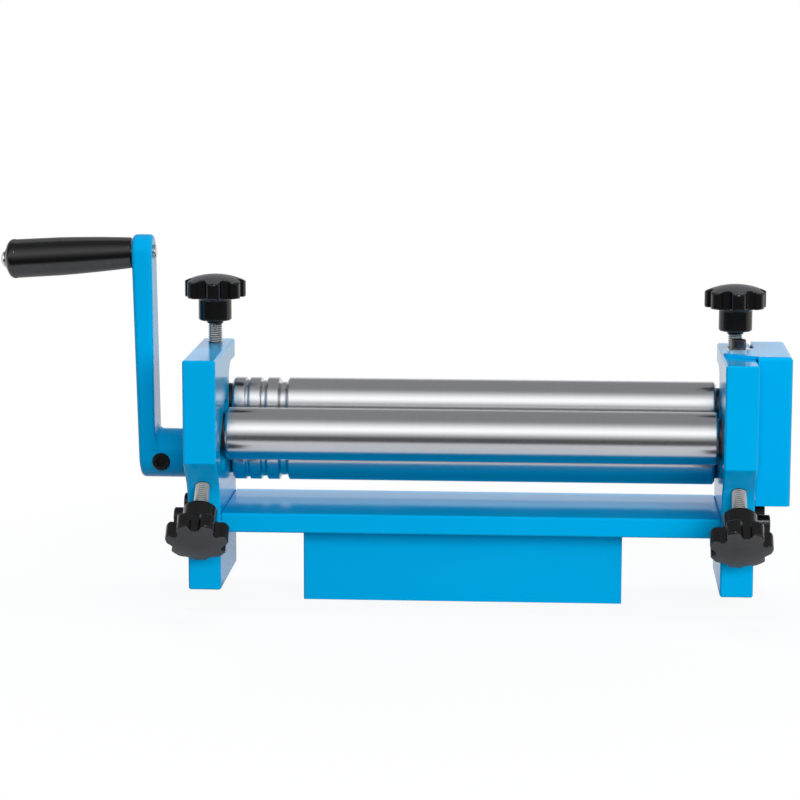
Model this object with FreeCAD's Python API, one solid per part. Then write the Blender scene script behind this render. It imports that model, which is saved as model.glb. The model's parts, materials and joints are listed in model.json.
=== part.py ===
# Slip roll machine for sheet metal, 320 mm forming width.
# Two pinch rollers stand one above the other between cast side frames, with a bending
# roller in front of them. A crank turns the lower roller and a gear pair turns the upper
# one. Two upright star knobs set the pinch and two sloping ones set the bending roller.
# Units are millimetres, +X runs along the rollers towards the gears and +Z is up.
# Sizes are measured across from the middle of the machine, back from the side frames'
# front faces and up from their feet. The saved parts are moved so that the origin is at
# the centre of the vise block's underside.

import FreeCAD, Part
import math
import os

V = FreeCAD.Vector
X_AXIS, Y_AXIS, Z_AXIS = V(1, 0, 0), V(0, 1, 0), V(0, 0, 1)
SIGN = {"left": -1, "right": 1}
to_origin = V(5.6, -64.0, 12.0)

# Rollers
forming_width = 320.0
roller_r = 17.1
roller_end_chamfer = 1.4
pinch_y = 87.5
lower_z = 78.8
pinch_centres = 34.5
upper_z = lower_z + pinch_centres
bend_y, bend_z = 46.5, 99.5
journal_r = 9.0
crank_seat_r = 8.0
gear_seat_r = 7.0
wire_grooves = ((-150.0, 1.55), (-139.0, 2.35), (-125.9, 3.4))

# Side frames
frame_in = forming_width / 2 + 1.7
frame_t = 21.2
frame_out = frame_in + frame_t
frame_mid = frame_in + frame_t / 2
frame_back = 107.6
frame_top = 153.8
nose_bottom = 87.2
leg_front, leg_knee = 20.8, 65.4
cap_floor = 141.0
cast_corner_r = 1.2
cast_edge = 1.0
knee_r = 25.0
running_gap = 0.05

# Upper roller's slot, open to the rear above a hook
lift_y0, lift_y1 = 73.0, 102.0
lift_floor = 97.0
lift_corner_r = 12.0
hook_top = 113.5
block_gap = 0.3
lift_block_z0, lift_block_z1 = 99.8, 126.8
lift_block_corner_r = 6.0

# Bending roller's sloping slot
bend_slope = math.radians(45.0)
bend_slot_r = 14.0
bend_travel = (-12.0, 8.0)
bend_block_half = 2.0

# Bushes
bush_r = 11.0
bush_flange_r = 13.0
bush_flange_x = 160.3
bush_seat_x = 164.7
bush_end_x = 181.9

# Tie bar and vise block
bar_front = 22.5
bar_top, bar_t = 50.7, 12.5
bar_bolt_y = (39.0, 89.0)
bar_bolt_z = bar_top - bar_t / 2
block_length, block_depth = 209.4, 28.0
block_x, block_y = -5.6, 64.0
block_bottom = -12.0

# Star knobs and adjusting screws
screw_r = 4.9
screw_hole_r = 5.0
tip_pocket_r = 5.2
tip_pocket_depth = 2.1
tip_in_pocket = 2.0
knob_lobes = 7
knob_r, knob_waist_r = 20.7, 15.6
knob_lobe_r = 5.4
lobe_half_deg = 60.0
knob_rim = 0.9
knob_turn_deg = {"top_left": -10.2, "top_right": -9.7, "front_left": 19.3, "front_right": 10.8}
knob_flange_t, knob_dome_h = 10.8, 4.4
knob_hub_r, knob_hub_h = 11.0, 15.4
knob_nut_r, knob_nut_h = 5.4, 2.0
top_hub_z = {"left": 168.9, "right": 164.9}
front_hub_reach = 18.0
screw_in_knob = 13.0

# Gears
gear_module, gear_teeth = 2.0, 17
gear_x0, gear_width = 187.0, 12.0
gear_tip_r = gear_module * (gear_teeth + 2) / 2
gear_root_r = gear_module * (gear_teeth - 2.5) / 2
pressure_angle = math.radians(20.0)
tooth_thinning = math.radians(1.1)
gear_shoulder_x = 184.0
clip_x, clip_t = 199.2, 1.2
shaft_end_x = 202.5
key_w, key_l = 5.0, 11.0

# Gear cover
sheet_t = 2.0
cover_in, cover_out = 183.6, 205.9
cover_front, cover_back = 27.0, 112.0
cover_bottom = 59.0
cover_top = frame_top + sheet_t
cover_rear_r, cover_edge_r = 12.0, 3.0
tongue = ((184.5, 29.6, 0), (162.4, 43.0, 5), (162.4, 68.0, 5), (182.2, 68.0, 2), (184.5, 70.3, 0))
cover_screw_x, cover_screw_y = 172.6, 56.5

# Crank
arm_hub_r, arm_end_r = 16.4, 12.4
arm_left = ((-226.9, 230.0), (-221.9, 60.0))
arm_right = ((-211.2, 60.0), (-213.0, 230.0))
arm_flare_r = 5.0
crank_radius = 134.5
crank_hub_x = -184.4
shaft_crank_x = -220.5
set_screw_x, set_screw_z, set_screw_r = -207.4, 75.2, 6.0
grip_tilt = math.radians(3.4)
grip_length = 85.3
grip_r0, grip_r1 = 10.2, 12.9
spindle_r = 4.0


def save(name, shape):
    shape.translate(to_origin)
    shape.exportStep("parts/" + name + ".step")
    print(name, round(shape.Volume), len(shape.Solids), shape.isValid())


# Outlines and basic solids

def outline_face(corners, place):
    """Face from corners (a, b, r), each rounded by a radius r of its own. place turns
    (a, b) into a point in space."""
    rims = []
    count = len(corners)
    for i, (a, b, r) in enumerate(corners):
        here = V(a, b, 0)
        back = (V(*corners[i - 1][:2], 0) - here).normalize()
        ahead = (V(*corners[(i + 1) % count][:2], 0) - here).normalize()
        if r == 0:
            rims.append((here, here, here))
            continue
        half = back.getAngle(ahead) / 2
        bisector = (back + ahead).normalize()
        run = r / math.tan(half)
        nearest = here + bisector * (r / math.sin(half) - r)
        rims.append((here + back * run, nearest, here + ahead * run))
    edges = []
    for i, (start, middle, end) in enumerate(rims):
        if start.distanceToPoint(end) > 1e-7:
            edges.append(Part.Arc(place(start), place(middle), place(end)).toShape())
        nxt = rims[(i + 1) % count][0]
        if end.distanceToPoint(nxt) > 1e-7:
            edges.append(Part.LineSegment(place(end), place(nxt)).toShape())
    return Part.Face(Part.Wire(edges))


def side_prism(corners, x0, x1):
    """Prism along X from a side-view outline of (y, z, r) corners."""
    face = outline_face(corners, lambda p: V(x0, p.x, p.y))
    return face.extrude(V(x1 - x0, 0, 0))


def turned(profile, at, axis=X_AXIS):
    """Solid of revolution about an axis from a point. The profile lists (distance along
    the axis, radius); an entry of two such pairs is an arc's middle and end."""
    first = V(profile[0][0], 0, 0)
    edges = []
    here = first
    for entry in profile:
        if isinstance(entry[0], tuple):
            middle, end = (V(p[0], 0, p[1]) for p in entry)
            edges.append(Part.Arc(here, middle, end).toShape())
        else:
            end = V(entry[0], 0, entry[1])
            if here.distanceToPoint(end) < 1e-7:
                continue
            edges.append(Part.LineSegment(here, end).toShape())
        here = end
    if here.z > 1e-7:
        edges.append(Part.LineSegment(here, V(here.x, 0, 0)).toShape())
    edges.append(Part.LineSegment(V(here.x, 0, 0), first).toShape())
    solid = Part.Face(Part.Wire(edges)).revolve(V(0, 0, 0), X_AXIS, 360)
    solid.Placement = FreeCAD.Placement(at, FreeCAD.Rotation(X_AXIS, axis))
    return solid


def rod(radius, start, length, axis):
    return Part.makeCylinder(radius, length, start, axis)


def x_rod(radius, xa, xb, y, z):
    return rod(radius, V(min(xa, xb), y, z), abs(xb - xa), X_AXIS)


def ring(outer_r, inner_r, thickness, at, axis):
    return rod(outer_r, at, thickness, axis).cut(rod(inner_r, at, thickness, axis))


def hex_pocket(flat, depth, mouth, axis):
    """Hexagonal pocket cutter that goes in from its mouth, against the axis."""
    r = flat / math.sqrt(3)
    corners = [(r * math.cos(math.radians(60 * i)), r * math.sin(math.radians(60 * i)), 0)
               for i in range(6)]
    pocket = side_prism(corners, -depth, 1.0)
    pocket.Placement = FreeCAD.Placement(mouth, FreeCAD.Rotation(X_AXIS, axis))
    return pocket


def cap_screw(shank_r, length, head_r, head_h, flat, seat, axis):
    """Socket head cap screw with the underside of its head on a seat point."""
    edge = 0.6
    screw = turned([(-length, shank_r), (0, shank_r), (0, head_r), (head_h - edge, head_r),
                    (head_h, head_r - edge)], seat, axis)
    return screw.cut(hex_pocket(flat, head_h * 0.55, seat + axis * head_h, axis))


# Bending axis and the line of its screw

slope = V(0, math.sin(bend_slope), math.cos(bend_slope))


def bend_at(travel, x=0.0):
    return V(x, bend_y, bend_z) + slope * travel


def nose_exit():
    """Travel at which the bending screw's line leaves the nose's sloping face."""
    face = V(0, leg_front, leg_knee)
    along = V(0, -leg_front, nose_bottom - leg_knee)
    normal = V(0, along.z, -along.y)
    return (face - bend_at(0)).dot(normal) / slope.dot(normal)


def obround(radius, travel0, travel1, x0, x1):
    """Prism along X with round ends centred at two travels of the bending axis."""
    square_end = V(0, slope.z, -slope.y) * radius
    a, b = bend_at(travel0, x0), bend_at(travel1, x0)
    edges = [
        Part.LineSegment(a + square_end, b + square_end).toShape(),
        Part.Arc(b + square_end, b + slope * radius, b - square_end).toShape(),
        Part.LineSegment(b - square_end, a - square_end).toShape(),
        Part.Arc(a - square_end, a - slope * radius, a + square_end).toShape(),
    ]
    return Part.Face(Part.Wire(edges)).extrude(V(x1 - x0, 0, 0))


# Side frames

def frame_corners():
    r = cast_corner_r
    hook_r = (frame_back - lift_y1) / 2 - 0.2
    return [
        (leg_front, 0.0, r),
        (frame_back, 0.0, r),
        (frame_back, hook_top, hook_r),
        (lift_y1, hook_top, hook_r),
        (lift_y1, lift_floor, 3.0),
        (lift_y0, lift_floor, 3.0),
        (lift_y0, cap_floor, lift_corner_r),
        (frame_back, cap_floor, 0),
        (frame_back, frame_top, r),
        (0.0, frame_top, r),
        (0.0, nose_bottom, r),
        (leg_front, leg_knee, knee_r),
    ]


def on_cast_outline(edge):
    """True for an edge round the outside of the casting, and not in its slots."""
    box = edge.BoundBox
    if box.XLength > 1e-6:
        return False
    y, z = box.Center.y, box.Center.z
    in_lift_slot = lift_y0 - 0.5 < y < frame_back - 0.05 and lift_floor - 0.5 < z < cap_floor + 0.5
    return not in_lift_slot


def side_frame(end):
    """Casting with a nose, a leg, the two slots, the lower bore and screw holes."""
    sign = SIGN[end]
    x0, x1 = sorted((sign * frame_in, sign * frame_out))
    body = side_prism(frame_corners(), x0, x1)
    body = body.makeChamfer(cast_edge, [e for e in body.Edges if on_cast_outline(e)])
    past = 1.0
    screw_x = sign * frame_mid
    ends = [t + s * (bend_block_half + block_gap) for t, s in zip(bend_travel, (-1, 1))]
    cuts = [
        obround(bend_slot_r, ends[0], ends[1], x0 - past, x1 + past),
        x_rod(bush_r, x0 - past, x1 + past, pinch_y, lower_z),
        x_rod(bush_flange_r, sign * (frame_in - past), sign * bush_seat_x, pinch_y, lower_z),
        rod(screw_hole_r, V(screw_x, pinch_y, cap_floor - past), 20.0, Z_AXIS),
        rod(screw_hole_r, bend_at(nose_exit() - 6.0, screw_x), 26.0, slope),
    ]
    for y in bar_bolt_y:
        cuts.append(x_rod(4.3, x0 - past, x1 + past, y, bar_bolt_z))
    if end == "right":
        cuts.append(rod(3.0, V(cover_screw_x, cover_screw_y, frame_top - 14.0), 20.0, Z_AXIS))
    return body.cut(Part.makeCompound(cuts))


# Tie bar, vise block and fastenings

def tie_bar():
    depth = frame_back - bar_front
    bar = Part.makeBox(2 * frame_in, depth, bar_t, V(-frame_in, bar_front, bar_top - bar_t))
    bar = bar.makeChamfer(0.8, bar.Edges)
    taps = [x_rod(4.0, s * frame_in, s * (frame_in - 24.0), y, bar_bolt_z)
            for s in SIGN.values() for y in bar_bolt_y]
    return bar.cut(Part.makeCompound(taps))


def vise_block():
    height = bar_top - bar_t - block_bottom
    corner = V(block_x - block_length / 2, block_y - block_depth / 2, block_bottom)
    block = Part.makeBox(block_length, block_depth, height, corner)
    upright = [e for e in block.Edges if e.BoundBox.ZLength > height / 2]
    return block.makeChamfer(0.8, upright)


def bar_fasteners():
    """Pairs of a flat and a spring washer with socket screws, two at each end."""
    flat_t, spring_t = 1.2, 1.9
    washers, screws = [], []
    for sign in SIGN.values():
        axis = V(sign, 0, 0)
        for y in bar_bolt_y:
            seat = V(sign * frame_out, y, bar_bolt_z)
            pair = turned([(0, 8.0), (flat_t, 8.0), (flat_t, 6.6), (flat_t + spring_t, 6.6)],
                          seat, axis)
            washers.append(pair.cut(rod(4.3, seat, flat_t + spring_t, axis)))
            head = seat + axis * (flat_t + spring_t)
            screws.append(cap_screw(4.0, 40.0, 6.5, 8.0, 6.0, head, axis))
    return Part.makeCompound(washers), Part.makeCompound(screws)


# Rollers

def roller_body():
    half, c = forming_width / 2, roller_end_chamfer
    return [(-half, roller_r - c), (-half + c, roller_r), (half - c, roller_r),
            (half, roller_r - c)]


def plain_end(x, r):
    """Profile of a journal end with a small chamfer, from its face inwards."""
    return [(x, r - 1.0), (x - math.copysign(1.0, x), r)]


def geared_end():
    return [(forming_width / 2, journal_r), (gear_shoulder_x, journal_r),
            (gear_shoulder_x, gear_seat_r), (shaft_end_x - 1, gear_seat_r),
            (shaft_end_x, gear_seat_r - 1)]


def key_solid(axis_z):
    return Part.makeBox(key_l, key_w, key_w, V(gear_x0 + 0.5, pinch_y - key_w / 2,
                                               axis_z + gear_seat_r - key_w / 2))


def grooved_body():
    """Profile of a roller body with wire grooves near its crank end, each half a hexagon."""
    points = []
    for x, r in wire_grooves:
        floor = roller_r - r * math.sqrt(0.75)
        points += [(x - r, roller_r), (x - r / 2, floor), (x + r / 2, floor), (x + r, roller_r)]
    body = roller_body()
    return body[:2] + points + body[2:]


def finished_pinch_roller(profile, axis_z):
    """Turned roller with a keyway for its gear."""
    return turned(profile, V(0, pinch_y, axis_z)).cut(key_solid(axis_z))


def lower_roller():
    crank_end = plain_end(shaft_crank_x, crank_seat_r)
    crank_end += [(crank_hub_x + 0.2, crank_seat_r), (crank_hub_x + 0.2, journal_r),
                  (-forming_width / 2, journal_r)]
    return finished_pinch_roller(crank_end + grooved_body() + geared_end(), lower_z)


def upper_roller():
    free_end = plain_end(-bush_end_x - 0.6, journal_r) + [(-forming_width / 2, journal_r)]
    return finished_pinch_roller(free_end + grooved_body() + geared_end(), upper_z)


def bending_roller():
    end_x = bush_end_x + 0.4
    left = plain_end(-end_x, journal_r) + [(-forming_width / 2, journal_r)]
    right = [(forming_width / 2, journal_r)] + plain_end(end_x, journal_r)[::-1]
    return turned(left + roller_body() + right, bend_at(0))


# Gears with involute teeth

def polar(radius, turn):
    return V(0, radius * math.sin(turn), radius * math.cos(turn))


def flank(turn, side):
    """Three points up one flank of a tooth, from the base circle to the tip."""
    pitch_r = gear_module * gear_teeth / 2
    base_r = pitch_r * math.cos(pressure_angle)
    half_tooth = math.pi / (2 * gear_teeth) - tooth_thinning / 2
    at_base = half_tooth + math.tan(pressure_angle) - pressure_angle
    points = []
    for k in range(3):
        radius = base_r + (gear_tip_r - base_r) * k / 2
        roll = math.sqrt((radius / base_r) ** 2 - 1)
        points.append(polar(radius, turn + side * (at_base - roll + math.atan(roll))))
    return points


def spur_gear(axis_z, first_tooth):
    """Spur gear in X, whose first tooth stands at an angle from +Z."""
    pitch = 2 * math.pi / gear_teeth
    root_half = 0.30
    edges = []
    for i in range(gear_teeth):
        turn = first_tooth + i * pitch
        up, down = flank(turn, -1), flank(turn, 1)[::-1]
        root_in = polar(gear_root_r, turn - pitch * root_half)
        root_out = polar(gear_root_r, turn + pitch * root_half)
        root_next = polar(gear_root_r, turn + pitch * (1 - root_half))
        edges += [
            Part.LineSegment(root_in, up[0]).toShape(),
            Part.Arc(*up).toShape(),
            Part.Arc(up[2], polar(gear_tip_r, turn), down[0]).toShape(),
            Part.Arc(*down).toShape(),
            Part.LineSegment(down[2], root_out).toShape(),
            Part.Arc(root_out, polar(gear_root_r, turn + pitch / 2), root_next).toShape(),
        ]
    gear = Part.Face(Part.Wire(Part.__sortEdges__(edges))).extrude(V(gear_width, 0, 0))
    gear.translate(V(gear_x0, pinch_y, axis_z))
    bore = x_rod(gear_seat_r, gear_x0, gear_x0 + gear_width, pinch_y, axis_z)
    return gear.cut(bore).cut(key_solid(axis_z))


# Bearings

def journal_hole(sign, y, z):
    return x_rod(journal_r + running_gap, sign * 150.0, sign * 190.0, y, z)


def flanged_bush(sign, y, z, outer_x):
    body = x_rod(bush_r, sign * bush_flange_x, sign * outer_x, y, z)
    flange = x_rod(bush_flange_r, sign * bush_flange_x, sign * bush_seat_x, y, z)
    return body.fuse(flange).removeSplitter().cut(journal_hole(sign, y, z))


def lift_block(sign):
    """Bearing block for the upper roller, with the screw's seat in its top."""
    x0, x1 = sorted((sign * bush_seat_x, sign * bush_end_x))
    y0, y1 = lift_y0 + block_gap, lift_y1 - block_gap
    r = lift_block_corner_r
    block = side_prism([(y0, lift_block_z0, 3.5), (y1, lift_block_z0, 3.5),
                        (y1, lift_block_z1, r), (y0, lift_block_z1, r)], x0, x1)
    seat = rod(tip_pocket_r, V(sign * frame_mid, pinch_y, lift_block_z1 - tip_pocket_depth),
               5.0, Z_AXIS)
    bore = x_rod(bush_r, x0, x1, pinch_y, upper_z)
    return block.cut(Part.makeCompound([seat, bore]))


def bend_block(sign):
    """Bearing block for the bending roller, with the screw's seat in its lower end."""
    x0, x1 = sorted((sign * bush_seat_x, sign * bush_end_x))
    r = bend_slot_r - block_gap
    block = obround(r, -bend_block_half, bend_block_half, x0, x1)
    low_end = -bend_block_half - r
    seat = rod(tip_pocket_r, bend_at(low_end - 3.0, sign * frame_mid), tip_pocket_depth + 3.0,
               slope)
    return block.cut(Part.makeCompound([seat, x_rod(bush_r, x0, x1, bend_y, bend_z)]))


# Star knobs and adjusting screws

def star_outline(x):
    """Star with round lobes joined by hollow arcs, drawn across the X axis."""
    pitch = 2 * math.pi / knob_lobes
    centre_r = knob_r - knob_lobe_r
    half = math.radians(lobe_half_deg)
    edges = []
    for i in range(knob_lobes):
        turn = i * pitch
        lobe = polar(centre_r, turn)
        left = lobe + polar(knob_lobe_r, turn - half)
        right = lobe + polar(knob_lobe_r, turn + half)
        nxt = polar(centre_r, turn + pitch) + polar(knob_lobe_r, turn + pitch - half)
        shift = V(x, 0, 0)
        edges.append(Part.Arc(left + shift, polar(knob_r, turn) + shift, right + shift).toShape())
        edges.append(Part.Arc(right + shift, polar(knob_waist_r, turn + pitch / 2) + shift,
                              nxt + shift).toShape())
    return Part.Face(Part.Wire(Part.__sortEdges__(edges)))


def star_knob(hub_end, axis, turn_deg):
    """Star knob whose hub starts at a point. The star is cut to a domed turned shape with
    broken edges, and a round hub and a metal nut carry it on the screw."""
    star_x0 = knob_hub_h
    rim_x = star_x0 + knob_flange_t
    crown_r = knob_r - knob_rim
    ball_r = (crown_r ** 2 + knob_dome_h ** 2) / (2 * knob_dome_h)
    ball_x = rim_x + knob_dome_h - ball_r
    middle, tip = (math.asin(r / ball_r) for r in (crown_r / 2, 1.2))
    star = star_outline(star_x0).extrude(V(knob_flange_t + knob_dome_h, 0, 0))
    lens = turned([
        (star_x0, knob_r - knob_rim),
        (star_x0 + knob_rim, knob_r),
        (rim_x - knob_rim, knob_r),
        (rim_x, knob_r - knob_rim),
        ((ball_x + ball_r * math.cos(middle), ball_r * math.sin(middle)),
         (ball_x + ball_r * math.cos(tip), ball_r * math.sin(tip))),
    ], V(0, 0, 0))
    star = star.common(lens)
    hub = turned([
        (0.0, knob_hub_r - 0.8),
        (0.8, knob_hub_r),
        (knob_hub_h - 1.9, knob_hub_r),
        (knob_hub_h, knob_hub_r + 1.9),
        (knob_hub_h + 1.0, knob_hub_r + 1.9),
    ], V(0, 0, 0))
    nut = rod(knob_nut_r, V(-knob_nut_h, 0, 0), knob_nut_h + 1.0, X_AXIS)
    knob = star.fuse(hub).fuse(nut)
    knob = knob.cut(rod(screw_r, V(-knob_nut_h, 0, 0), knob_nut_h + screw_in_knob, X_AXIS))
    spin = FreeCAD.Rotation(X_AXIS, turn_deg)
    knob.Placement = FreeCAD.Placement(hub_end, FreeCAD.Rotation(X_AXIS, axis).multiply(spin))
    return knob


def adjusting_screw(tip, hub_end, axis):
    """Screw from its turned tip to its end inside the knob; axis points to the knob."""
    reach = (hub_end - tip).dot(axis) + screw_in_knob
    return turned([(0, screw_r - 0.8), (0.8, screw_r), (reach, screw_r)], tip, axis)


# Gear cover

def cover_corners(inset):
    r = max(cover_rear_r - inset, 1.0)
    return [
        (cover_front + inset, cover_bottom - inset, 0),
        (cover_back - inset, cover_bottom - inset, 0),
        (cover_back - inset, cover_top - inset, r),
        (cover_front + inset, cover_top - inset, max(2.5 - inset, 0.5)),
    ]


def gear_cover():
    """Bent sheet hood over the gears with a tongue screwed to the side frame's top."""
    outer = side_prism(cover_corners(0.0), cover_in, cover_out)
    rim = [e for e in outer.Edges if e.BoundBox.XMin > cover_out - 1e-6
           and e.BoundBox.ZMax > cover_bottom + 1]
    outer = outer.makeFillet(cover_edge_r, rim)
    inner = side_prism(cover_corners(sheet_t), cover_in - 5.0, cover_out - sheet_t)
    flat = outline_face(tongue, lambda p: V(p.x, p.y, frame_top)).extrude(V(0, 0, sheet_t))
    hole = rod(3.2, V(cover_screw_x, cover_screw_y, frame_top - 1), 5.0, Z_AXIS)
    return outer.cut(inner).fuse(flat).removeSplitter().cut(hole)


# Crank

def link_outline(x, end_z):
    """Tapered link with round ends, from the shaft's axis up to the grip's."""
    run = end_z - lower_z
    lean = math.asin((arm_hub_r - arm_end_r) / run)
    low, high = V(x, pinch_y, lower_z), V(x, pinch_y, end_z)
    side = polar(1.0, math.pi / 2 - lean)
    other = polar(1.0, -math.pi / 2 + lean)
    edges = [
        Part.Arc(low + other * arm_hub_r, low - Z_AXIS * arm_hub_r,
                 low + side * arm_hub_r).toShape(),
        Part.LineSegment(low + side * arm_hub_r, high + side * arm_end_r).toShape(),
        Part.Arc(high + side * arm_end_r, high + Z_AXIS * arm_end_r,
                 high + other * arm_end_r).toShape(),
        Part.LineSegment(high + other * arm_end_r, low + other * arm_hub_r).toShape(),
    ]
    return Part.Face(Part.Wire(edges))


def crank_arm():
    """Cast crank arm, thinner towards the shaft, that flares into a round hub."""
    grip_z = lower_z + crank_radius
    corners = [(x, z, 0) for x, z in arm_left + arm_right]
    slab = outline_face(corners, lambda p: V(p.x, 0, p.y)).extrude(V(0, 200.0, 0))
    link = link_outline(-235.0, grip_z).extrude(V(40.0, 0, 0))
    arm = link.common(slab)
    left_rim = [e for e in arm.Edges if e.BoundBox.XMax < -221.0]
    arm = arm.makeFillet(3.0, left_rim)
    right_rim = [e for e in arm.Edges if e.BoundBox.XMin > -214.0]
    arm = arm.makeFillet(2.4, right_rim)
    hub = x_rod(arm_hub_r, arm_right[0][0] - 4.0, crank_hub_x, pinch_y, lower_z)
    hub_rim = [e for e in hub.Edges if abs(e.BoundBox.XMin - crank_hub_x) < 1e-6]
    hub = hub.makeChamfer(1.0, hub_rim)
    reach = arm_hub_r + arm_flare_r
    root = arm_right[0][0] - 0.6
    swing = arm_flare_r * (1 - math.sqrt(0.5))
    flare = turned([
        (root - 2.0, reach),
        (root, reach),
        ((root + swing, reach - arm_flare_r + swing), (root + arm_flare_r, arm_hub_r)),
    ], V(0, pinch_y, lower_z))
    upper_side = Part.makeBox(60.0, 60.0, 60.0, V(-235.0, pinch_y - 30.0, lower_z + 4.0))
    arm = arm.fuse(hub).fuse(flare.common(link).common(upper_side)).removeSplitter()
    bores = [
        x_rod(crank_seat_r, -235.0, -180.0, pinch_y, lower_z),
        rod(set_screw_r, V(set_screw_x, pinch_y - 30.0, set_screw_z), 30.0, Y_AXIS),
        rod(spindle_r, grip_start - grip_axis * 30.0, 40.0, grip_axis),
    ]
    return arm.cut(Part.makeCompound(bores))


def crank_set_screw():
    """Socket set screw in the crank hub, bearing on the shaft."""
    face_y = pinch_y - arm_hub_r - 0.5
    end_y = pinch_y - crank_seat_r - 0.05
    screw = turned([(face_y - end_y, set_screw_r), (0 - 0.7, set_screw_r),
                    (0, set_screw_r - 0.7)], V(set_screw_x, face_y, set_screw_z), -Y_AXIS)
    return screw.cut(hex_pocket(6.0, 4.5, V(set_screw_x, face_y, set_screw_z), -Y_AXIS))


grip_axis = V(-math.cos(grip_tilt), 0, -math.sin(grip_tilt))
grip_start = V(-227.1, pinch_y, lower_z + crank_radius)
spindle_reach = 14.7


def grip_spindle():
    """Headed spindle through the arm that the grip turns on, with a domed end cap."""
    head_r, cap_r = 4.8, 5.2
    end = grip_length + 0.3
    return turned([
        (-spindle_reach - 1.3, head_r - 0.6),
        (-spindle_reach - 0.7, head_r),
        (-spindle_reach, head_r),
        (-spindle_reach, spindle_r),
        (end, spindle_r),
        (end, cap_r),
        (end + 0.8, cap_r),
        ((end + 2.2, cap_r * 0.65), (end + 2.9, 1.0)),
    ], grip_start, grip_axis)


def crank_grip():
    """Round tapered hand grip with a bore for its spindle."""
    end = grip_length
    grip = turned([
        (0.0, grip_r0 - 0.5),
        (0.5, grip_r0),
        ((24.0, grip_r0 + 1.5), (48.0, grip_r1 - 0.2)),
        (end - 8.0, grip_r1),
        ((end - 4.2, grip_r1 - 0.35), (end - 2.4, grip_r1 - 2.2)),
        (end, grip_r1 - 7.2),
    ], grip_start, grip_axis)
    return grip.cut(rod(spindle_r + running_gap, grip_start, grip_length + 1.0, grip_axis))


# Write every part

os.makedirs("parts", exist_ok=True)

for end, sign in SIGN.items():
    save("side_frame_" + end, side_frame(end))
    save("lower_bush_" + end, flanged_bush(sign, pinch_y, lower_z, frame_out))
    save("upper_bush_" + end, flanged_bush(sign, pinch_y, upper_z, bush_end_x))
    save("bend_bush_" + end, flanged_bush(sign, bend_y, bend_z, bush_end_x))
    save("upper_block_" + end, lift_block(sign))
    save("bend_block_" + end, bend_block(sign))

    top_hub = V(sign * frame_mid, pinch_y, top_hub_z[end])
    top_tip = V(sign * frame_mid, pinch_y, lift_block_z1 - tip_in_pocket)
    save("top_knob_" + end, star_knob(top_hub, Z_AXIS, knob_turn_deg["top_" + end]))
    save("top_screw_" + end, adjusting_screw(top_tip, top_hub, Z_AXIS))

    front_hub = bend_at(nose_exit() - front_hub_reach, sign * frame_mid)
    block_end = -bend_block_half - bend_slot_r + block_gap
    front_tip = bend_at(block_end + tip_in_pocket, sign * frame_mid)
    save("front_knob_" + end, star_knob(front_hub, -slope, knob_turn_deg["front_" + end]))
    save("front_screw_" + end, adjusting_screw(front_tip, front_hub, -slope))

save("tie_bar", tie_bar())
save("vise_block", vise_block())
washers, screws = bar_fasteners()
save("bar_washers", washers)
save("bar_screws", screws)

save("lower_roller", lower_roller())
save("upper_roller", upper_roller())
save("bending_roller", bending_roller())

half_pitch = math.pi / gear_teeth
gear_set = {"lower": (lower_z, 0.0), "upper": (upper_z, math.pi + half_pitch)}
for name, (axis_z, first_tooth) in gear_set.items():
    save(name + "_gear", spur_gear(axis_z, first_tooth))
    save(name + "_key", key_solid(axis_z))
    shoulder = V(gear_shoulder_x, pinch_y, axis_z)
    save(name + "_spacer", ring(10.0, gear_seat_r, gear_x0 - gear_shoulder_x, shoulder, X_AXIS))
    save(name + "_clip", ring(9.4, gear_seat_r, clip_t, V(clip_x, pinch_y, axis_z), X_AXIS))

save("gear_cover", gear_cover())
cover_seat = V(cover_screw_x, cover_screw_y, cover_top)
save("cover_washer", ring(7.75, 3.2, 1.4, cover_seat, Z_AXIS))
save("cover_screw", cap_screw(3.0, 14.0, 5.0, 6.0, 5.0, cover_seat + Z_AXIS * 1.4, Z_AXIS))

save("crank_arm", crank_arm())
save("crank_set_screw", crank_set_screw())
save("grip_spindle", grip_spindle())
save("crank_grip", crank_grip())
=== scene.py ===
# Looks of the slip roll machine: materials, screw threads, studio and camera.
# Lengths are metres in the part's own frame: origin at the centre of the vise block's
# underside, +X along the rollers towards the gear cover, +Z up.

import json
import math

import bpy
from mathutils import Matrix, Vector


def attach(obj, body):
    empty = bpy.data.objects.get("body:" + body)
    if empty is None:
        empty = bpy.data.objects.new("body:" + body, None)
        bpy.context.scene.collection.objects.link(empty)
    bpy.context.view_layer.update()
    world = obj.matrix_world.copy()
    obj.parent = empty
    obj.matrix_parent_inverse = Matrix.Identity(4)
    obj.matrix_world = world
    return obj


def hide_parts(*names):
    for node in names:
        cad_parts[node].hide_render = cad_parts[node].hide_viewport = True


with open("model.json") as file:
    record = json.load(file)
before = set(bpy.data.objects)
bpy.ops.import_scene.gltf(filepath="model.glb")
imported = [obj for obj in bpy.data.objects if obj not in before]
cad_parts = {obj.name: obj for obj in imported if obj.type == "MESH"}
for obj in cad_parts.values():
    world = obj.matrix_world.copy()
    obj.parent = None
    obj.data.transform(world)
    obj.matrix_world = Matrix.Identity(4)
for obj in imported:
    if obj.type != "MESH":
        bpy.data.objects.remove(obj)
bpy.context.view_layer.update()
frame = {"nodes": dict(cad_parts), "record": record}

MM = 0.001
SIGN = {"left": -1, "right": 1}
SLOPE_ANGLE = math.radians(45)
SLOPE = Vector((0.0, math.sin(SLOPE_ANGLE), math.cos(SLOPE_ANGLE)))
UP = Vector((0.0, 0.0, 1.0))

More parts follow.
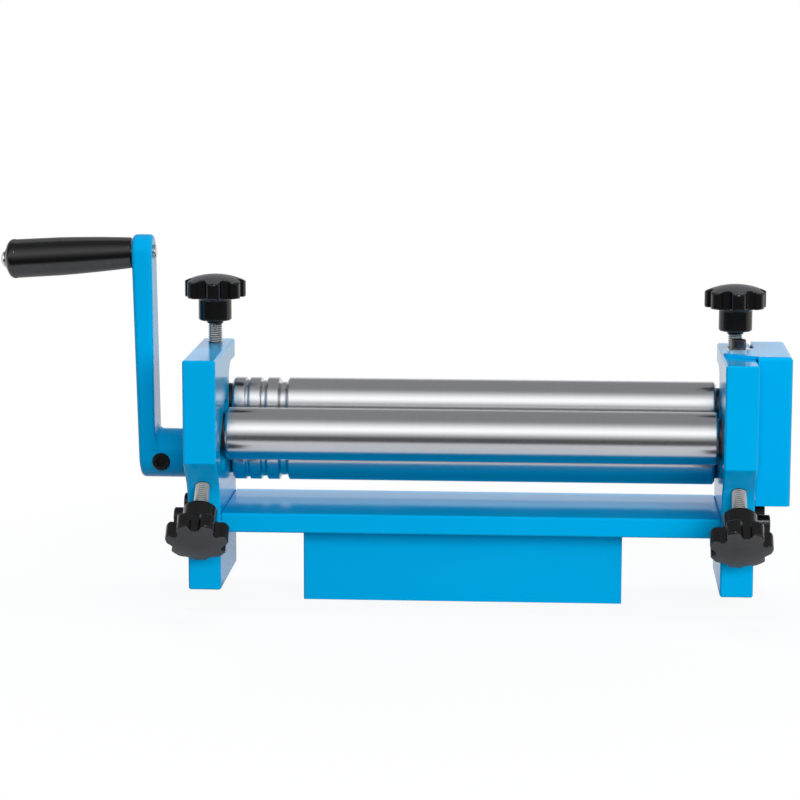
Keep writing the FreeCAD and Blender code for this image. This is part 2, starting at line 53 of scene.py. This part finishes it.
# Adjusting screws
SCREW_X = 172.3 * MM
SCREW_X_SHIFT = 5.6 * MM
TOP_SCREW_Y = 23.5 * MM
TOP_TIP_Z = 136.8 * MM
TOP_LENGTH = {"left": 57.1 * MM, "right": 53.1 * MM}
BEND_AXIS = Vector((0.0, -17.5 * MM, 111.5 * MM))
FRONT_TIP_BACK = 13.7 * MM
FRONT_LENGTH = 47.2 * MM

# Their threads: the flat at the root, and the one at the crest, as a share of the pitch
CREST_R, ROOT_R, PITCH = 4.88 * MM, 4.15 * MM, 1.5 * MM
THREAD_FLAT = 1 / 6
THREAD_LEAD_IN = 0.9 * MM

# Tie bar's top, level behind its crest and falling away in front of it
BAR_CREST_Y = 16.0 * MM
BAR_CREST_BLEND = 3.4641 * MM
BAR_FRONT_SLOPE = 0.075

# Noise that a material's roughness and colour run between, and the painted shade in its grooves
NOISE_ROUGH, NOISE_COLOR = (0.25, 0.75), (0.3, 0.7)
PAINTED_SHADE_OPENING, GROOVE_PAINTED_SHADE = (0.45, 0.95), 0.10

# Moulded plastic: cosines between which a face turns into a crown
CROWN_FACING = (0.80, 0.90)
SIDE_GREY, CROWN_GREYS = 0.0035, (0.030, 0.050)
SIDE_ROUGHNESS, CROWN_ROUGHNESS = 0.15, 0.41

# Floor
FLOOR_SIZE = 8.0
FLOOR_Z = -0.2 * MM
TABLE_FRONT_Y = (-0.32, -0.22)
TABLE, DARK_ROOM, BOUNCE = (0.92, 0.89, 0.85, 1.0), 0.10, 0.18
SHADOW_FADE = (0.55, 0.24)
SHADOW_SHARE = 0.10

# Studio that mirrors see, by the angle in degrees from the front horizon up and over
BAND_RISE, BAND_FALL, BACKDROP_RISE = (-2.0, 32.0), (80.0, 28.0), (146.0, 166.0)
CEILING, BAND, BACKDROP = 0.31, 1.58, (1.0, 1.0, 1.04, 1.0)

# Weak light from all around: where its front and back begin and end, and its colours
FILL_FRONT, FILL_BACK = (-0.2, 0.9), (0.4, 0.9)
FILL_SIDE_COLOR, FILL_END_COLOR = (0.16, 0.18, 0.22, 1.0), (0.35, 0.40, 0.51, 1.0)

# Lamps: place, target, size and watts
MIDDLE, UPPER_MIDDLE = (0.0, 0.0, 0.1), (0.0, 0.0, 0.15)
LAMPS = {
    "overhead": ((0.1, 0.22, 1.5), MIDDLE, (1.2, 0.3), 8.0),
    "softbox": ((0.60, -2.0, 0.66), MIDDLE, (1.8, 0.7), 37.0),
    "key_right": ((1.5, -1.3, 0.6), MIDDLE, (0.8, 0.8), 4.5),
    "back": ((-0.6, 2.0, 0.45), MIDDLE, (1.8, 0.6), 30.0),
}
GLINT_LAMP = ((0.25, -1.1, 1.5), UPPER_MIDDLE, (0.5, 0.16), 10.0)

# Camera, with angles in degrees and lens and sensor in millimetres
CAMERA_PLACE = (0.064384, -1.796558, 0.419451)
CAMERA_YAW, CAMERA_PITCH, CAMERA_ROLL = -3.388, -9.081, 0.089
CAMERA_LENS, CAMERA_SENSOR = 124.676, 36.0
CAMERA_CLIP = (0.05, 50.0)


# Materials

class Nodes:
    """Builds a node tree in short lines."""

    def __init__(self, tree):
        self.tree = tree
        tree.nodes.clear()

    def add(self, kind, inputs=None, **settings):
        node = self.tree.nodes.new(kind)
        for name, value in settings.items():
            setattr(node, name, value)
        for name, value in (inputs or {}).items():
            socket = node.inputs[name]
            if isinstance(value, bpy.types.NodeSocket):
                self.tree.links.new(value, socket)
            else:
                socket.default_value = value
        return node

    def math(self, operation, *values):
        node = self.add("ShaderNodeMath", dict(enumerate(values)), operation=operation)
        return node.outputs[0]

    def ramp(self, value, start, end):
        """0 up to start and 1 from end on, smooth between."""
        return self.add("ShaderNodeMapRange", {"Value": value, "From Min": start, "From Max": end},
                        interpolation_type="SMOOTHSTEP").outputs["Result"]

    def mix(self, factor, a, b):
        """Colour between a and b, by the numbers of a mix node's colour sockets."""
        color_a, color_b, result = 6, 7, 2
        node = self.add("ShaderNodeMix", {"Factor": factor, color_a: a, color_b: b},
                        data_type="RGBA")
        return node.outputs[result]

    def mix_shaders(self, factor, a, b):
        return self.add("ShaderNodeMixShader", {"Fac": factor, 1: a, 2: b}).outputs[0]

    def noise(self, scale, stretch=(1, 1, 1), detail=3.0):
        """Noise in the part's own space, drawn out along chosen axes."""
        where = self.add("ShaderNodeTexCoord").outputs["Object"]
        mapped = self.add("ShaderNodeMapping", {"Vector": where, "Scale": stretch})
        node = self.add("ShaderNodeTexNoise", {"Vector": mapped.outputs["Vector"],
                                               "Scale": scale, "Detail": detail})
        return node.outputs["Fac"]

    def soft_edges(self, radius):
        """Normal that shades sharp edges as if they were rounded."""
        return self.add("ShaderNodeBevel", {"Radius": radius}, samples=6).outputs["Normal"]

    def bump(self, height, distance, normal):
        inputs = {"Height": height, "Strength": 1.0, "Distance": distance}
        if normal is not None:
            inputs["Normal"] = normal
        return self.add("ShaderNodeBump", inputs).outputs["Normal"]

    def surface(self, inputs):
        shader = self.add("ShaderNodeBsdfPrincipled", inputs)
        self.add("ShaderNodeOutputMaterial", {"Surface": shader.outputs[0]})


def grey(v):
    return (v, v, v, 1.0)


def opaque(color, scale=1.0):
    return tuple(c * scale for c in color) + (1.0,)


def new_material(name):
    mat = bpy.data.materials.new(name)
    mat.use_nodes = True
    return mat, Nodes(mat.node_tree)


def crest_height(n):
    """Height over the tie bar's top, for a slope of 1 in front of its crest."""
    where = n.add("ShaderNodeTexCoord").outputs["Object"]
    y = n.add("ShaderNodeSeparateXYZ", {"Vector": where}).outputs["Y"]
    behind = n.math("SUBTRACT", y, BAR_CREST_Y)
    square = n.math("ADD", n.math("MULTIPLY", behind, behind), BAR_CREST_BLEND ** 2)
    return n.math("MULTIPLY", n.math("SUBTRACT", behind, n.math("SQRT", square)), 0.5)


def finish_material(name, color, roughness, metallic=0.0, spread=0.0, shade=0.0,
                    texture=(40.0, (1, 1, 1)), specular=0.5, mirror_tint=(1, 1, 1),
                    soft_edge=0.0, bump=None, front_slope=0.0, painted_groove_shade=0.0):
    """Material whose roughness and colour wander with noise, by spread and by shade.
    texture is the noise's scale and stretch, mirror_tint colours what it mirrors head-on,
    soft_edge is the radius that sharp edges are shaded with, bump is a noise's scale and
    height, front_slope lets a top face fall away in front of its crest, and painted shade
    darkens the grooves narrower than the groove width given last."""
    mat, n = new_material(name)
    wander = n.noise(*texture)
    noise_low, noise_high = NOISE_ROUGH
    rough = n.add("ShaderNodeMapRange", {"Value": wander, "From Min": noise_low,
                                         "From Max": noise_high,
                                         "To Min": roughness - spread,
                                         "To Max": roughness + spread}).outputs["Result"]
    base = n.mix(n.ramp(wander, *NOISE_COLOR), opaque(color, 1 - shade), opaque(color))
    # Painted shade: colour darkens in grooves narrower than the given width
    if painted_groove_shade:
        painted_shade_opening = n.add("ShaderNodeAmbientOcclusion", {"Distance": painted_groove_shade}, samples=8)
        base = n.mix(n.ramp(painted_shade_opening.outputs["AO"], *PAINTED_SHADE_OPENING),
                     opaque(color, GROOVE_PAINTED_SHADE), base)
    normal = n.soft_edges(soft_edge) if soft_edge else None
    if bump:
        scale, height = bump
        normal = n.bump(n.noise(scale, detail=4.0), height, normal)
    if front_slope:
        normal = n.bump(crest_height(n), front_slope, normal)
    inputs = {"Base Color": base, "Roughness": rough, "Metallic": metallic,
              "Specular IOR Level": specular, "Specular Tint": opaque(mirror_tint)}
    if normal is not None:
        inputs["Normal"] = normal
    n.surface(inputs)
    return mat


def moulded_plastic(name):
    """Glossy black plastic. Faces square to a knob's axis have a duller, greyer grain."""
    mat, n = new_material(name)
    facing = n.add("ShaderNodeTexCoord").outputs["Normal"]
    square_on = []
    for axis in (UP, -SLOPE):
        dot = n.add("ShaderNodeVectorMath", {0: facing, 1: axis}, operation="DOT_PRODUCT")
        square_on.append(n.ramp(dot.outputs["Value"], *CROWN_FACING))
    crown = n.math("MAXIMUM", *square_on)
    grain = n.mix(n.noise(260.0), *map(grey, CROWN_GREYS))
    base = n.mix(crown, grey(SIDE_GREY), grain)
    rough = n.math("MULTIPLY_ADD", crown, CROWN_ROUGHNESS - SIDE_ROUGHNESS, SIDE_ROUGHNESS)
    height = n.math("MULTIPLY", n.noise(700.0), crown)
    normal = n.bump(height, 0.04 * MM, n.soft_edges(1.2 * MM))
    n.surface({"Base Color": base, "Roughness": rough, "Specular IOR Level": 0.42,
               "Normal": normal})
    return mat


EVEN = (1, 1, 1)
AROUND_ROLLER = (30, 1, 1)
FINE_GRAIN = {"spread": 0.05, "texture": (160.0, EVEN)}
CUT_GRAIN = {"spread": 0.06, "texture": (90.0, EVEN)}
ENAMEL = {"color": (0.0, 0.39, 0.74), "roughness": 0.15, "spread": 0.03, "shade": 0.03,
          "texture": (18.0, EVEN), "specular": 0.30, "mirror_tint": (0.04, 0.45, 1.0),
          "soft_edge": 0.7 * MM, "bump": (55.0, 0.08 * MM)}
looks = {
    "blue_enamel": finish_material("blue_enamel", **ENAMEL),
    "ground_steel": finish_material("ground_steel", (0.66, 0.665, 0.68), 0.19, metallic=1.0,
                                    spread=0.015, shade=0.02, texture=(30.0, AROUND_ROLLER),
                                    soft_edge=1.6 * MM),
    "machined_steel": finish_material("machined_steel", (0.40, 0.41, 0.42), 0.34,
                                      metallic=1.0, shade=0.15, **CUT_GRAIN),
    "bronze": finish_material("bronze", (0.10, 0.09, 0.085), 0.38,
                              metallic=1.0, shade=0.2, **CUT_GRAIN),
    "zinc_plated_steel": finish_material("zinc_plated_steel", (0.80, 0.80, 0.77), 0.20,
                                         metallic=1.0, shade=0.1, **FINE_GRAIN),
    "black_steel": finish_material("black_steel", (0.006, 0.006, 0.007), 0.28,
                                   shade=0.2, specular=0.3, **FINE_GRAIN),
    "black_plastic": moulded_plastic("black_plastic"),
}
# Zinc-plated thread, with painted shade in its roots
thread_look = finish_material("zinc_plated_thread", (0.86, 0.86, 0.83), 0.24, metallic=1.0,
                              shade=0.1, painted_groove_shade=1.2 * MM, **FINE_GRAIN)
own_looks = {
    "cover_screw": finish_material("dark_steel", (0.13, 0.13, 0.14), 0.26, metallic=1.0,
                                   shade=0.2, **FINE_GRAIN),
    "tie_bar": finish_material("blue_enamel_bar", front_slope=BAR_FRONT_SLOPE, **ENAMEL),
}

for part in frame["record"]["subparts"]:
    for slot in frame["nodes"][part["node"]].material_slots:
        slot.material = own_looks.get(part["node"], looks[part["material_slot"]])


# Screw threads

def thread_height(turns):
    """0 at the thread's root and 1 at its crest, for a place counted in turns."""
    along = turns % 1.0
    flank = 1.0 - abs(along - 0.5) * 2.0
    return min(max((flank - THREAD_FLAT) / (1 - 2 * THREAD_FLAT), 0.0), 1.0)


def threaded_rod(name, tip, axis, length):
    """Rod with a helical thread that stands for one adjusting screw."""
    around, per_turn = 36, 12
    rings = int(length / PITCH * per_turn) + 1
    side = axis.orthogonal().normalized()
    other = axis.cross(side)
    verts, faces = [], []
    for k in range(rings):
        z = length * k / (rings - 1)
        for j in range(around):
            turn = j / around
            r = ROOT_R + (CREST_R - ROOT_R) * thread_height(z / PITCH - turn)
            r = min(r, CREST_R - THREAD_LEAD_IN + z)
            out = side * math.cos(turn * 2 * math.pi) + other * math.sin(turn * 2 * math.pi)
            verts.append(tip + axis * z + out * r)
    for k in range(rings - 1):
        for j in range(around):
            a, b = k * around + j, k * around + (j + 1) % around
            faces.append((a, b, b + around, a + around))
    faces.append(tuple(range(around - 1, -1, -1)))
    faces.append(tuple(range((rings - 1) * around, rings * around)))
    mesh = bpy.data.meshes.new(name)
    mesh.from_pydata([tuple(v) for v in verts], [], faces)
    mesh.update()
    obj = bpy.data.objects.new(name, mesh)
    bpy.context.collection.objects.link(obj)
    mesh.shade_smooth()
    mesh.materials.append(thread_look)
    return obj


for end, sign in SIGN.items():
    x = sign * SCREW_X + SCREW_X_SHIFT
    top = threaded_rod("top_thread_" + end, Vector((x, TOP_SCREW_Y, TOP_TIP_Z)), UP,
                       TOP_LENGTH[end])
    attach(top, "top_knob_" + end + "_turning")
    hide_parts("top_screw_" + end)
    tip = BEND_AXIS + Vector((x, 0, 0)) - SLOPE * FRONT_TIP_BACK
    front = threaded_rod("front_thread_" + end, tip, -SLOPE, FRONT_LENGTH)
    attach(front, "front_knob_" + end + "_turning")
    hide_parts("front_screw_" + end)


# Studio

def make_floor():
    """White to the camera but for the object's shadow. Mirrored rays see a pale table under
    the object and behind it and a dark room in front, and what it bounces up is weak."""
    bpy.ops.mesh.primitive_plane_add(size=FLOOR_SIZE, location=(0, 0, FLOOR_Z))
    floor = bpy.context.object
    floor.name = "studio_floor"
    mat, n = new_material("studio_floor")
    rays = n.add("ShaderNodeLightPath").outputs
    position = n.add("ShaderNodeNewGeometry").outputs["Position"]
    y = n.add("ShaderNodeSeparateXYZ", {"Vector": position}).outputs["Y"]
    away = n.add("ShaderNodeVectorMath", {0: position}, operation="LENGTH").outputs["Value"]
    near = n.ramp(away, *SHADOW_FADE)

    mirrored = n.mix(n.ramp(y, *TABLE_FRONT_Y), grey(DARK_ROOM), TABLE)
    color = n.mix(rays["Is Diffuse Ray"], mirrored, grey(BOUNCE))
    lit_by_room = n.add("ShaderNodeBsdfDiffuse", {"Color": color}).outputs[0]
    plain = n.add("ShaderNodeEmission", {"Color": mirrored, "Strength": 1.0}).outputs[0]
    far_and_glossy = n.math("MULTIPLY", rays["Is Glossy Ray"], n.math("SUBTRACT", 1.0, near))
    to_object = n.mix_shaders(far_and_glossy, lit_by_room, plain)

    white = n.add("ShaderNodeEmission", {"Color": grey(1.0), "Strength": 1.0}).outputs[0]
    shaded = n.add("ShaderNodeBsdfDiffuse", {"Color": grey(1.0)}).outputs[0]
    to_camera = n.mix_shaders(n.math("MULTIPLY", near, SHADOW_SHARE), white, shaded)

    surface = n.mix_shaders(rays["Is Camera Ray"], to_object, to_camera)
    n.add("ShaderNodeOutputMaterial", {"Surface": surface})
    floor.data.materials.append(mat)


def make_world():
    """White to the camera. Mirrors see a bright band in front, a grey ceiling and a white
    backdrop behind, and everything else gets a weak, cool light."""
    world = bpy.data.worlds.new("studio")
    bpy.context.scene.world = world
    world.use_nodes = True
    n = Nodes(world.node_tree)
    rays = n.add("ShaderNodeLightPath").outputs
    direction = n.add("ShaderNodeTexCoord").outputs["Generated"]
    axes = n.add("ShaderNodeSeparateXYZ", {"Vector": direction}).outputs
    front = n.math("MULTIPLY", axes["Y"], -1.0)

    angle = n.math("MULTIPLY", n.math("ARCTAN2", axes["Z"], front), math.degrees(1.0))
    band = n.math("MULTIPLY", n.ramp(angle, *BAND_RISE), n.ramp(angle, *BAND_FALL))
    ceiling_and_band = n.mix(band, grey(CEILING), grey(BAND))
    mirrored = n.mix(n.ramp(angle, *BACKDROP_RISE), ceiling_and_band, BACKDROP)

    ends = n.math("MAXIMUM", n.ramp(front, *FILL_FRONT), n.ramp(axes["Y"], *FILL_BACK))
    fill = n.mix(ends, FILL_SIDE_COLOR, FILL_END_COLOR)

    color = n.mix(rays["Is Glossy Ray"], fill, mirrored)
    color = n.mix(rays["Is Camera Ray"], color, grey(1.0))
    shader = n.add("ShaderNodeBackground", {"Color": color, "Strength": 1.0})
    n.add("ShaderNodeOutputWorld", {"Surface": shader.outputs[0]})


def add_lamp(name, place, target, size, power, glints_on=None):
    """Soft lamp that mirrors don't show, or else one that only lights the named pieces and
    puts its glints on them."""
    data = bpy.data.lights.new(name, "AREA")
    data.shape = "RECTANGLE"
    data.size, data.size_y = size
    data.energy = power
    lamp = bpy.data.objects.new(name, data)
    lamp.location = place
    aim = Vector(target) - Vector(place)
    lamp.rotation_euler = aim.to_track_quat("-Z", "Y").to_euler()
    lamp.visible_glossy = glints_on is not None
    if glints_on:
        lit = bpy.data.collections.new(name)
        for node in glints_on:
            lit.objects.link(node)
        lamp.light_linking.receiver_collection = lit
    bpy.context.collection.objects.link(lamp)


make_floor()
make_world()
for name, lamp in LAMPS.items():
    add_lamp(name, *lamp)
black_pieces = [frame["nodes"][part["node"]] for part in frame["record"]["subparts"]
                if part["material_slot"] in ("black_plastic", "black_steel")]
add_lamp("glint", *GLINT_LAMP, glints_on=black_pieces)


# Camera

def make_camera():
    """Same place, direction and lens as the photograph's camera."""
    yaw, pitch, roll = map(math.radians, (CAMERA_YAW, CAMERA_PITCH, CAMERA_ROLL))
    ahead = Vector((math.sin(yaw) * math.cos(pitch), math.cos(yaw) * math.cos(pitch),
                    math.sin(pitch)))
    right = Vector((math.cos(yaw), -math.sin(yaw), 0.0))
    up = right.cross(ahead)
    right, up = (right * math.cos(roll) + up * math.sin(roll),
                 up * math.cos(roll) - right * math.sin(roll))
    data = bpy.data.cameras.new("camera")
    data.sensor_width = CAMERA_SENSOR
    data.lens = CAMERA_LENS
    data.clip_start, data.clip_end = CAMERA_CLIP
    camera = bpy.data.objects.new("camera", data)
    turn = Matrix((right, up, -ahead)).transposed()
    camera.matrix_world = Matrix.LocRotScale(Vector(CAMERA_PLACE), turn.to_quaternion(), None)
    bpy.context.collection.objects.link(camera)
    bpy.context.scene.camera = camera


make_camera()
bpy.context.scene.view_settings.view_transform = "Standard"
